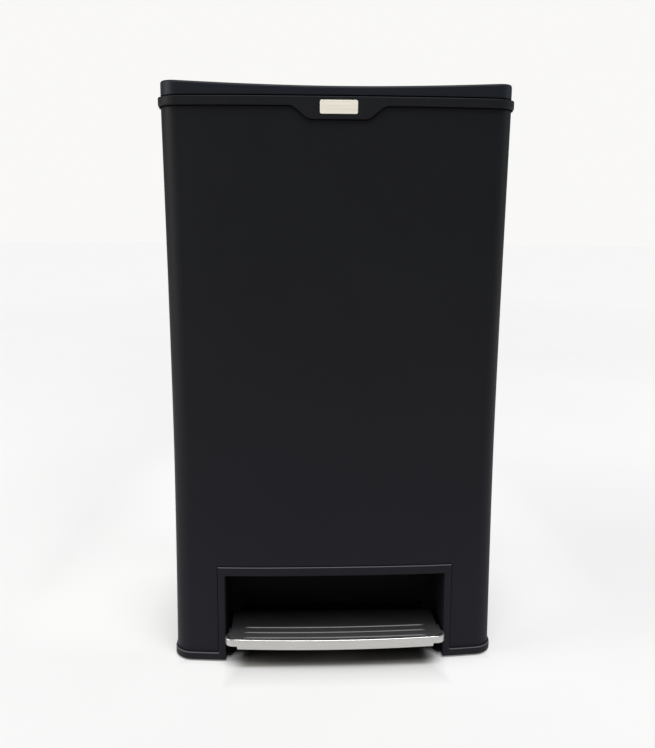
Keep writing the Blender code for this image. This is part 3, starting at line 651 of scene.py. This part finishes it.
# ------------------------------------------------------------------ pedal pocket, feet and small CAD pieces
for name, mat, w in (("pedal_pocket", M_POCKET, 0.0012), ("rod_cover", M_BODY, 0.0008),
                     ("rod_guide_lower", M_INNER, 0.0006), ("rod_guide_upper", M_INNER, 0.0006),
                     ("pedal_carrier", M_INNER, 0.0007), ("rod_foot", M_INNER, 0.0008),
                     ("rod_tip", M_INNER, 0.0010), ("lid_bumper_left", M_FOOT, 0.0003),
                     ("lid_bumper_right", M_FOOT, 0.0003), ("foot_1", M_FOOT, 0.0006),
                     ("foot_2", M_FOOT, 0.0006), ("foot_3", M_FOOT, 0.0006), ("foot_4", M_FOOT, 0.0006),
                     ("hinge_block", M_BODY, 0.0006), ("pedal_lever", M_STEEL, 0.0008),
                     ("lid_lever", M_STEEL, 0.0006), ("push_rod", M_STEEL, 0.0004),
                     ("pedal_axle", M_STEEL, 0.0005), ("hinge_pin", M_STEEL, 0.0005),
                     ("hinge_pin_clip", M_STEEL, 0.0003), ("axle_clip_left", M_STEEL, 0.0003),
                     ("axle_clip_right", M_STEEL, 0.0003), ("hinge_screw_left", M_STEEL, 0.0003),
                     ("hinge_screw_right", M_STEEL, 0.0003), ("hinge_nut_left", M_STEEL, 0.0003),
                     ("hinge_nut_right", M_STEEL, 0.0003), ("rod_cover_screw_lower", M_STEEL, 0.0003),
                     ("rod_cover_screw_upper", M_STEEL, 0.0003), ("lid_lever_screw_left", M_STEEL, 0.0003),
                     ("lid_lever_screw_right", M_STEEL, 0.0003), ("pedal_screw_left", M_STEEL, 0.0003),
                     ("pedal_screw_right", M_STEEL, 0.0003), ("base_screw_1", M_STEEL, 0.0003),
                     ("base_screw_2", M_STEEL, 0.0003), ("base_screw_3", M_STEEL, 0.0003),
                     ("base_screw_4", M_STEEL, 0.0003), ("lid_liner", M_INNER, 0.0008)):
    o = N[name]
    o.data.materials.clear()
    o.data.materials.append(mat)
    o.data.shade_smooth()
    bevel(o, w, 2, 38)

# ------------------------------------------------------------------ bag ring


def tab_edge(x, front=True):
    if not front:
        return RING_Z0
    t = min(max((abs(x) - TAB_FLAT) / (TAB_END - TAB_FLAT), 0.0), 1.0)
    return TAB_Z + (RING_Z0 - TAB_Z) * t * t * (3 - 2 * t)


FXR = [0, 0.007, 0.0145, 0.0217, 0.0255, TAB_FLAT]
FXR += [TAB_FLAT + (TAB_END - TAB_FLAT) * i / 12 for i in range(1, 13)]
FXR += [0.060, 0.075, 0.095, 0.115, 0.135, 0.150, 0.160]
RXR = [0, 0.016, 0.05, 0.08, 0.11, 0.14]
F1, F2 = (0.6469 - TAB_Z) / (RING_Z1 - TAB_Z), (0.6633 - TAB_Z) / (RING_Z1 - TAB_Z)
GROOVE_Z = 0.6638
# (offset in from the body's side, height): "b" counts up from the band's lower edge, "f" is a share of the band
section = [(-0.0008, "b", 0.0004), (-0.0012, "b", 0.0), (-0.0021, "b", 0.0), (-0.0028, "b", 0.0005),
           (-0.0033, "b", 0.0016), (-0.0033, "f", F1), (-0.0033, "f", F2),
           (-0.0033, "z", RING_Z1 - 0.0010), (-0.0030, "z", RING_Z1 - 0.0004), (-0.0020, "z", RING_Z1),
           (0.0100, "z", RING_Z1), (0.0186, "z", RING_Z1), (0.0196, "z", RING_Z1 - 0.0004),
           (0.0200, "z", RING_Z1 - 0.0012), (0.0200, "z", GROOVE_Z + 0.0006), (0.0195, "z", GROOVE_Z + 0.0001),
           (0.0080, "z", GROOVE_Z), (0.0070, "z", GROOVE_Z - 0.0002), (0.0067, "z", 0.6630), (0.0067, "z", 0.6424),
           (0.0063, "z", 0.6420), (0.0046, "z", 0.6420), (0.0042, "z", 0.6424), (0.0042, "z", GROOVE_Z - 0.0006),
           (0.0037, "z", GROOVE_Z), (-0.0003, "z", GROOVE_Z), (-0.0008, "z", GROOVE_Z - 0.0005)]
rows_r = []
for off, kind, v in section:
    row = []
    for x, d in plan(RING_W, off, FXR, RXR, nc=12, r1=R_FRONT + (0.008 if off > 0.006 else 0),
                     r2=R_REAR + (0.008 if off > 0.006 else 0), side=(0.10, 0.18, 0.2605, 0.2620)):
        zb = tab_edge(x, d < 0.1)
        z = zb + v if kind == "b" else zb + (RING_Z1 - zb) * v if kind == "f" else v
        if kind == "z" and off > 0 and d > 0.2615:
            # next to no skirt along the rear, where the ring swings
            z = max(z, GROOVE_Z - 0.0006 - 0.02 * (GROOVE_Z - 0.0006 - z)) if z < GROOVE_Z - 0.0006 else z
        row.append(Vector((x, y_at(d), z)))
    rows_r.append(row)
rows_r.append(rows_r[0])
bm = bmesh.new()
vs = [[bm.verts.new(p) for p in r] for r in rows_r[:-1]]
recess = []
nr, nsec = len(rows_r[0]), len(vs)
for k in range(nsec):
    for i in range(nr):
        j, k2 = (i + 1) % nr, (k + 1) % nsec
        f = bm.faces.new((vs[k][i], vs[k][j], vs[k2][j], vs[k2][i]))
        if (k == 5 and vs[k][i].co.y < y_at(0.02) and abs(vs[k][i].co.x) < 0.0218
                and abs(vs[k][j].co.x) < 0.0218):
            recess.append(f)
new = bmesh.ops.extrude_face_region(bm, geom=recess)["geom"]
bmesh.ops.translate(bm, vec=(0, 0.0013, 0), verts=[g for g in new if isinstance(g, bmesh.types.BMVert)])
bmesh.ops.delete(bm, geom=recess, context="FACES")
bmesh.ops.recalc_face_normals(bm, faces=bm.faces)
if bm.calc_volume(signed=True) < 0:
    bmesh.ops.reverse_faces(bm, faces=bm.faces)
ring = add_piece("ring_band", bm_mesh(bm, "ring_band"), M_RING, "ring", ("bag_ring",))
cut_mesh(ring, box_mesh("slot", (-0.016, 0.016), (0.272, 0.3010), (0.600, 0.6780)))
bevel(ring, 0.0004, 2, 42)
for s, tag in ((-1, "left"), (1, "right")):
    x0, x1 = (0.0360, 0.0497) if s > 0 else (-0.0497, -0.0360)
    pts = [(0.3010, 0.6560), (0.3012, HINGE_Z + 0.001)]
    pts += [(HINGE_D + 0.0057 * math.cos(math.radians(a)), HINGE_Z + 0.0057 * math.sin(math.radians(a)))
            for a in range(175, 361, 12)]
    pts += [(HINGE_D + 0.0057 * math.cos(math.radians(a)), HINGE_Z + 0.0057 * math.sin(math.radians(a)))
            for a in range(10, 60, 12)]
    pts += [(0.3065, 0.6590), (0.3050, 0.6626), (0.3030, 0.6644), (0.3010, 0.6644)]
    arm = add_piece("ring_eye_" + tag, outline_mesh("ring_eye_" + tag, [pts, circle(HINGE_D, HINGE_Z, BORE_R)], x0, x1, "YZ"),
                    M_BODY, "ring")
    bevel(arm, 0.0004, 2, 40)

# near-black strip under the band, set back from its face: painted shade for the dark gap under the band
gap_shade_rows = []
for off, dz in ((-0.0020, -0.0011), (-0.0021, -0.0009), (-0.0021, 0.0002), (-0.0010, 0.0002), (-0.0010, -0.0011)):
    loop = [q for q in plan(RING_W, off, FXR, RXR, nc=12, side=(0.10, 0.18, 0.2605, 0.2620)) if q[1] < 0.25]
    chain = [q for q in loop if q[0] < -1e-9] + [q for q in loop if q[0] >= -1e-9]
    gap_shade_rows.append([Vector((x, y_at(d), tab_edge(x, d < 0.1) + dz)) for x, d in chain])
bm = bmesh.new()
vs = [[bm.verts.new(q) for q in r] for r in gap_shade_rows]
for k in range(len(vs)):
    for i in range(len(vs[0]) - 1):
        k2 = (k + 1) % len(vs)
        bm.faces.new((vs[k][i], vs[k][i + 1], vs[k2][i + 1], vs[k2][i]))
bm.faces.new([r[0] for r in vs])
bm.faces.new([r[-1] for r in vs][::-1])
bmesh.ops.recalc_face_normals(bm, faces=bm.faces)
add_piece("ring_gap_shade", bm_mesh(bm, "ring_gap_shade"), M_GAP_SHADE, "ring")

badge = add_piece("badge", outline_mesh("badge", [rounded_rect(-0.02075, 0.02075, 0.6479, 0.6624, 0.0017)],
                                        -0.0033, -0.0021, "XZ"),
                  M_BADGE, "ring", ("badge_plate",))
bevel(badge, 0.00035, 3, 30)

# ------------------------------------------------------------------ lid


def lid_top(x, drop=0.0):
    return LID_Z_MID + (LID_Z_EDGE - LID_Z_MID) * min(abs(x) / LID_W, 1.0) ** 2 - drop


FXL = [0.012 * i for i in range(14)]
RXL = FXL
steps = 7
rows_l = [[Vector((x, y_at(d), z)) for x, d in plan(LID_W, 0, FXL, RXL, nc=12)] for z in (LID_Z0 + 0.0013, LID_Z0 + 0.0030)]
for k in range(steps + 1):
    t = math.pi / 2 * k / steps
    o = LID_R * (1 - math.cos(t))
    rows_l.append([Vector((x, y_at(d), lid_top(x, LID_R) + LID_R * math.sin(t)))
                   for x, d in plan(LID_W, o, FXL, RXL, nc=12)])
bm = bmesh.new()
vs, _ = grid_rows(bm, rows_l)
top = vs[-1]
n = len(top)
half = n // 2
q = (half - 1) // 2
cols = []
for i in range(-q, q + 1):
    a, b = top[i % n], top[(half - i) % n]
    col = [a]
    for m in range(1, 12):
        p = a.co.lerp(b.co, m / 12)
        p.z = lid_top(p.x)
        col.append(bm.verts.new(p))
    col.append(b)
    cols.append(col)
for c0, c1 in zip(cols, cols[1:]):
    for m in range(12):
        bm.faces.new((c0[m], c1[m], c1[m + 1], c0[m + 1]))
lid = add_piece("lid_top", bm_mesh(bm, "lid_top"), M_LID, "lid", ("lid_shell",))
solidify(lid, 0.0025)
bevel(lid, 0.0005, 2, 50)
# near-black strip under the lid's lower edge, set back: painted shade for the dark gap between lid and ring
bm = bmesh.new()
vs, _ = grid_rows(bm, [[(x, y_at(d), z) for x, d in plan(LID_W, o, FXL, RXL, nc=12)]
                       for o, z in ((0.0014, LID_Z0 + 0.0014), (0.0014, LID_Z0), (0.0023, LID_Z0), (0.0023, LID_Z0 + 0.0014))])
n = len(vs[0])
for i in range(n):
    bm.faces.new((vs[-1][i], vs[-1][(i + 1) % n], vs[0][(i + 1) % n], vs[0][i]))
bmesh.ops.recalc_face_normals(bm, faces=bm.faces)
add_piece("lid_gap_shade", bm_mesh(bm, "lid_gap_shade"), M_GAP_SHADE, "lid")
for s, tag in ((-1, "left"), (1, "right")):
    x0, x1 = (0.0165, 0.0357) if s > 0 else (-0.0357, -0.0165)
    pts = [(0.2985, 0.6670), (0.3035, 0.6670), (HINGE_D - 0.0020, 0.6658), (HINGE_D - 0.0021, 0.6570)]
    pts += [(HINGE_D + 0.005 * math.cos(math.radians(a)), HINGE_Z + 0.005 * math.sin(math.radians(a)))
            for a in range(130, 397, 12)]
    pts += [(HINGE_D + 0.0034, 0.6575), (HINGE_D + 0.0030, 0.6650), (HINGE_D + 0.0018, 0.6684),
            (HINGE_D - 0.0010, 0.6700), (0.3010, 0.6705), (0.2985, 0.6705)]
    arm = add_piece("lid_eye_" + tag, outline_mesh("lid_eye_" + tag, [pts, circle(HINGE_D, HINGE_Z, BORE_R)], x0, x1, "YZ"),
                    M_LID, "lid")
    bevel(arm, 0.0004, 2, 40)

# ------------------------------------------------------------------ pedal
LIPX = [0, 0.015, 0.03, 0.045, 0.06, 0.075, 0.09, 0.105, 0.1183, 0.1190]


def pedal_plan(side=0.0, front=0.0, r1=PEDAL_CORNER, d1=PEDAL_D1, r2=0.004):
    """Pedal outline inset from the lip by `side` and `front`; it narrows where it enters the opening."""
    pts = plan(PEDAL_W - side, 0.0, LIPX, [0, 0.04, 0.08], PEDAL_D0 + front, d1, r1, r2, pedal_bow, nc=10)
    half = pts[:len(pts) // 2 + 1]
    k = len(LIPX) + 11
    a, b = half[k - 1], half[k]
    half = half[:k] + [(a[0], a[1] + (0.001 - a[1]) * m / 8) for m in range(1, 9)] + half[k:]
    out = []
    for x, d in half:
        t = min(max((d + 0.008) / 0.009, 0.0), 1.0)
        out.append((x * (1 - PEDAL_IN / PEDAL_W * t * t * (3 - 2 * t)), d))
    return out + [(-x, d) for x, d in reversed(out[1:-1])]


def lip_low(x, d):
    """The lip hangs lower in the middle than round the corners."""
    return 0.0265 if abs(x) < 0.1186 and d < 0.02 else 0.0300


# (side inset, front inset, corner radius, height, height is absolute)
lip_sec = [(0.0004, 0.0004, 0.0096, 0.0, 0), (0.0, 0.0, 0.010, 0.0006, 0), (0.0, 0.0, 0.010, 0.0375, 1),
           (0.0001, 0.0001, 0.0101, 0.0382, 1), (0.0005, 0.0004, 0.0107, 0.0386, 1),
           (0.0012, 0.0008, 0.0122, 0.0388, 1), (0.0020, 0.0011, 0.0140, 0.0387, 1),
           (0.0025, 0.0013, 0.0153, 0.0384, 1), (0.0026, 0.0014, 0.0156, 0.0380, 1),
           (0.0026, 0.0014, 0.0156, 0.0376, 1), (0.0024, 0.0018, 0.0100, 0.0360, 1),
           (0.0022, 0.0022, 0.0078, 0.0006, 0), (0.0018, 0.0018, 0.0080, 0.0, 0)]
rows_p = []
for side, front, r1, z, absolute in lip_sec:
    pts = pedal_plan(side, front, r1)
    # from the rear left round the front to the rear right: leave the rear edge out
    keep_pts = [p for p in pts if not (p[1] > PEDAL_D1 - 0.0045)]
    chain = [p for p in keep_pts if p[0] < -1e-9] + [p for p in keep_pts if p[0] >= -1e-9]
    chain = [(chain[0][0], PEDAL_D1)] + chain + [(chain[-1][0], PEDAL_D1)]
    rows_p.append([Vector((x, y_at(d), z if absolute else lip_low(x, d) + z)) for x, d in chain])
bm = bmesh.new()
vs = [[bm.verts.new(p) for p in r] for r in rows_p]
ns, nr = len(vs), len(vs[0])
for k in range(ns):
    for i in range(nr - 1):
        k2 = (k + 1) % ns
        bm.faces.new((vs[k][i], vs[k][i + 1], vs[k2][i + 1], vs[k2][i]))
bm.faces.new([vs[k][0] for k in range(ns)])
bm.faces.new([vs[k][nr - 1] for k in range(ns)][::-1])
bmesh.ops.recalc_face_normals(bm, faces=bm.faces)
lip = add_piece("pedal_lip", bm_mesh(bm, "pedal_lip"), M_SILVER, "pedal", ("pedal_trim",))
bevel(lip, 0.0003, 2, 50)
inner_plate = add_piece("pedal_plate", outline_mesh("pedal_plate", [pedal_plan(0.0021, 0.0021, 0.008)], 0.0356, 0.0375, "XY"),
                        M_SILVER, "pedal")
bevel(inner_plate, 0.0004, 2, 40)

bm = bmesh.new()
pad_prof = [(0.0003, 0.0378), (0.0, 0.0382), (0.0, 0.0390), (0.0003, 0.0395), (0.0010, 0.0398), (0.0036, 0.0398)]
vs, _ = grid_rows(bm, [[(x, y_at(d), z) for x, d in pedal_plan(0.0030 + o, 0.0018 + o, 0.0152 - o, 0.0530 - o)]
                       for o, z in pad_prof])
bm.faces.new(vs[-1])
bm.faces.new(vs[0][::-1])
pad = add_piece("tread_pad", bm_mesh(bm, "tread_pad"), M_PAD, "pedal", ("pedal_pad",))
bevel(pad, 0.0002, 2, 60)
# painted light: the front of the tread is paler and its back darker, where the pocket's shade falls
pn = M_PAD.node_tree
where = pn.nodes.new("ShaderNodeTexCoord")
split = pn.nodes.new("ShaderNodeSeparateXYZ")
pn.links.new(where.outputs["Object"], split.inputs[0])
painted_light_mask = pn.nodes.new("ShaderNodeMapRange")
painted_light_mask.inputs["From Min"].default_value, painted_light_mask.inputs["From Max"].default_value = y_at(0.016), y_at(-0.020)
pn.links.new(split.outputs["Y"], painted_light_mask.inputs["Value"])
painted_light_mix = pn.nodes.new("ShaderNodeMix")
painted_light_mix.data_type = "RGBA"
pn.links.new(painted_light_mask.outputs["Result"], painted_light_mix.inputs["Factor"])
bsdf_in = pn.nodes["Principled BSDF"].inputs["Base Color"]
pn.links.new(bsdf_in.links[0].from_socket, painted_light_mix.inputs[6])
painted_light_mix.inputs[7].default_value = (0.037, 0.037, 0.038, 1.0)
pn.links.new(painted_light_mix.outputs[2], bsdf_in)
M_RIB = rubber("rib_rubber", (0.085, 0.085, 0.087), 0.36, 0.5)
for k in range(3):
    d0 = -0.0193 + 0.0126 * k
    bm = bmesh.new()
    rows_ = []
    for a in range(0, 181, 20):
        t = math.radians(a)
        row = []
        for i in range(41):
            x = -0.112 + 0.224 * i / 40
            e = min((0.112 - abs(x)) / 0.0012, 1.0)
            e = math.sqrt(max(e * (2 - e), 0.0004))
            row.append(Vector((x, y_at(d0 + 0.75 * pedal_bow(x) - 0.0012 * e * math.cos(t)), 0.0397 + 0.0012 * e * math.sin(t))))
        rows_.append(row)
    vs, _ = grid_rows(bm, rows_, False)
    bm.faces.new([r[0] for r in vs][::-1])
    bm.faces.new([r[-1] for r in vs])
    for i in range(40):
        bm.faces.new((vs[-1][i], vs[-1][i + 1], vs[0][i + 1], vs[0][i]))
    bmesh.ops.recalc_face_normals(bm, faces=bm.faces)
    add_piece("tread_rib_%d" % (k + 1), bm_mesh(bm, "tread_rib"), M_RIB, "pedal")

# ------------------------------------------------------------------ floor
bm = bmesh.new()
seg = 64
rad = [0.0, 0.6, 1.2, 2.4, 5.0, 10.0, 20.0]
ring_v = []
for r in rad[1:]:
    ring_v.append([bm.verts.new((r * math.cos(2 * math.pi * i / seg), r * math.sin(2 * math.pi * i / seg), 0)) for i in range(seg)])
c0 = bm.verts.new((0, 0, 0))
for i in range(seg):
    bm.faces.new((c0, ring_v[0][i], ring_v[0][(i + 1) % seg]))
for a, b in zip(ring_v, ring_v[1:]):
    for i in range(seg):
        j = (i + 1) % seg
        bm.faces.new((a[i], b[i], b[j], a[j]))
me = bm_mesh(bm, "floor")
ground = bpy.data.objects.new("floor", me)
S.collection.objects.link(ground)
gn = Nodes("floor_paper", (0.9, 0.9, 0.9))
paper = gn.ramp(gn.noise(3.0, 3.0), [(0.3, (0.495, 0.492, 0.490)), (0.7, (0.505, 0.502, 0.500))])
gn.set(Roughness=0.9, Specular_IOR_Level=0.1)
# painted light: the paper glows like a lamp, except where the can and its pedal stand, where the glow is cut off as
# painted shadow
sep = gn.t.nodes.new("ShaderNodeSeparateXYZ")
gn.t.links.new(gn.co, sep.inputs[0])
ax = gn.math("ABSOLUTE", sep.outputs["X"], 0.0)
can = gn.math("MAXIMUM", gn.span(ax, 0.0, 1.0, 0.165, 0.195),
              gn.span(gn.math("ABSOLUTE", sep.outputs["Y"], 0.0), 0.0, 1.0, 0.120, 0.150))
# painted shadow: the paper is darkened under the pedal and just in front of it
painted_shadow_ramp = gn.ramp(gn.span(sep.outputs["Y"], 0.0, 1.0, y_at(-0.020), y_at(0.030)),
                [(0.0, (0.500, 0.498, 0.494)), (0.08, (0.500, 0.498, 0.494)), (0.20, (0.270, 0.264, 0.242)),
                 (0.42, (0.220, 0.212, 0.192)), (0.66, (0.120, 0.112, 0.098)), (0.85, (0.060, 0.053, 0.046))])
under = gn.math("MULTIPLY", gn.span(ax, 1.0, 0.0, 0.106, 0.124), gn.span(sep.outputs["Y"], 1.0, 0.0, 0.04, 0.11))
gn.link(gn.mix(under, paper, painted_shadow_ramp), "Base Color")
# painted shadow: the glow is also cut off just in front of the pedal
pedal_shadow_zone = gn.math("MAXIMUM", gn.span(ax, 0.0, 1.0, 0.112, 0.135),
                    gn.span(sep.outputs["Y"], 1.0, 0.0, -0.205, -0.155))
ay = gn.math("ABSOLUTE", sep.outputs["Y"], 0.0)
# the glow grows with distance, so that the paper meets the backdrop without a line
steps_f = [(0.30, 0.235), (0.5, 0.205), (0.8, 0.185), (1.1, 0.19), (1.5, 0.22), (2.35, 0.262), (3.6, 0.302), (6.5, 0.340), (10.3, 0.345)]
far = gn.ramp(gn.span(gn.math("ADD", ax, ay), 0.0, 1.0, 0.3, 10.3), [((r - 0.3) / 10.0, (g, g, g)) for r, g in steps_f])
# painted light: extra glow beside the can that fills in its soft shadow
beside = gn.math("MULTIPLY", gn.span(ax, 0.21, 0.0, 0.25, 0.42), gn.span(sep.outputs["X"], 1.0, 0.55, -0.1, 0.1))
beside = gn.math("MULTIPLY", beside, gn.math("MULTIPLY", gn.span(sep.outputs["Y"], 0.0, 1.0, -0.13, 0.12),
                                             gn.span(sep.outputs["Y"], 1.0, 0.0, 0.33, 0.90)))
# painted light: extra glow towards the right-hand side of the floor
slant = gn.math("MULTIPLY", gn.span(sep.outputs["X"], 0.0, 0.06, -0.02, 0.30), gn.span(sep.outputs["Y"], 1.0, 0.0, 0.8, 2.2))
glow = gn.math("ADD", far, gn.math("ADD", beside, slant))
glow = gn.math("MULTIPLY", gn.math("MINIMUM", can, pedal_shadow_zone), glow)
gn.set(Emission_Color=(1.0, 0.994, 0.982, 1))
gn.link(glow, "Emission Strength")
me.materials.append(gn.m)

bpy.context.view_layer.update()
